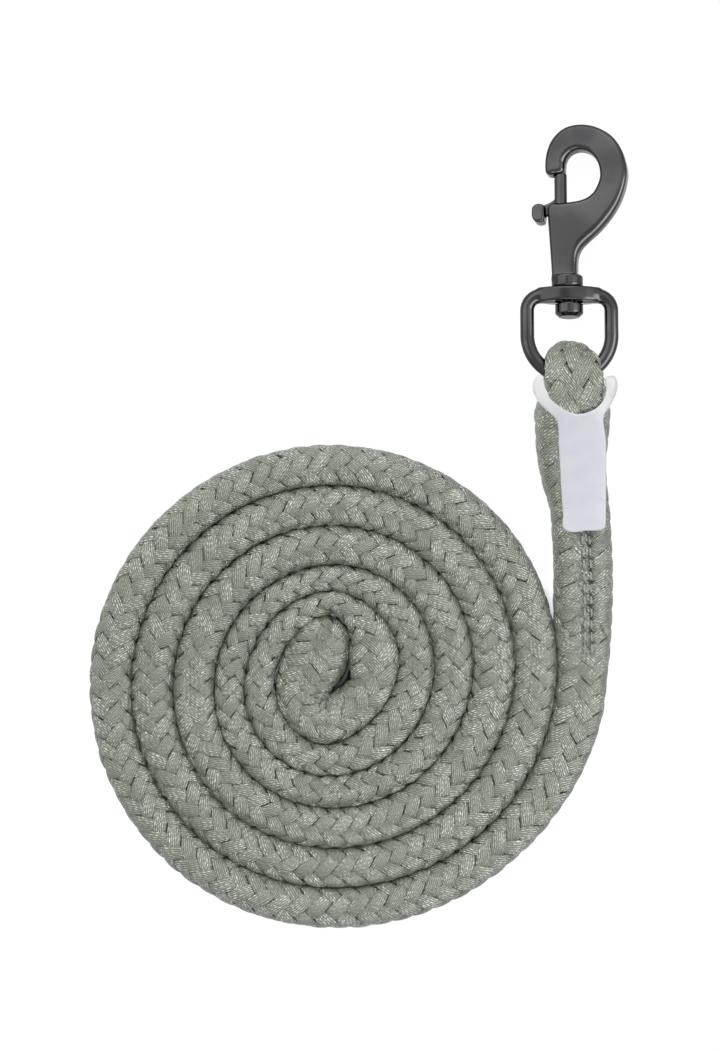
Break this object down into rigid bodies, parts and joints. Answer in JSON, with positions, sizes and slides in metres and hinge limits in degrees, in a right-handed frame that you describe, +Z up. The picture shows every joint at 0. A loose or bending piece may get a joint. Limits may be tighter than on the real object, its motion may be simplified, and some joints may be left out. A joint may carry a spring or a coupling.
{
  "type": "lead rope",
  "caption": "Braided lead rope wound flat in a coil, with a sewn eye, a blank soft tag and a swivel snap hook whose sprung bolt slides back to clip onto a halter ring.",
  "frame": {"origin": "middle of the bounding box in X and Y, on the floor that the coil lies on", "axes": "+Y from the coil towards the hook, +Z up from the floor, +X to the side on which the neck leaves the coil"},
  "size_m": [0.2226, 0.3322, 0.0345],
  "materials": {
    "braided_rope": "soft satin yarn, sage grey-green",
    "sewing_thread": "matt thread, sage grey-green",
    "soft_tag": "soft white plastic, slightly cloudy",
    "dark_metal": "smooth glossy gunmetal plating on a casting",
    "spring_steel": "bare drawn wire"
  },
  "bodies": {
    "rope": {"rope_coil": "braided_rope", "rope_neck": "braided_rope", "rope_eye": "braided_rope", "seam_thread_left": "sewing_thread", "seam_thread_right": "sewing_thread", "label_tag": "soft_tag"},
    "swivel_eye": {"swivel_eye": "dark_metal"},
    "hook": {"hook_body": "dark_metal", "swivel_pin": "dark_metal", "bolt_spring": "spring_steel"},
    "bolt": {"gate_bolt": "dark_metal"}
  },
  "joints": [
    {"name": "eye_swing", "type": "hinge", "parent": "rope", "child": "swivel_eye", "pos_m": [0.08645, 0.06131, 0.0195], "axis": [1, 0, 0], "range_deg": [-80, 45]},
    {"name": "hook_swivel", "type": "hinge", "parent": "swivel_eye", "child": "hook", "pos_m": [0.08645, 0.09814, 0.01432], "axis": [0, 0.9903, -0.1392], "continuous": true},
    {"name": "bolt_slide", "type": "slide", "parent": "hook", "child": "bolt", "axis": [0, -0.9903, 0.1392], "range_m": [0, 0.011], "stiffness_N_per_m": 450, "springref_m": -0.007, "deforming": ["bolt_spring"]}
  ]
}
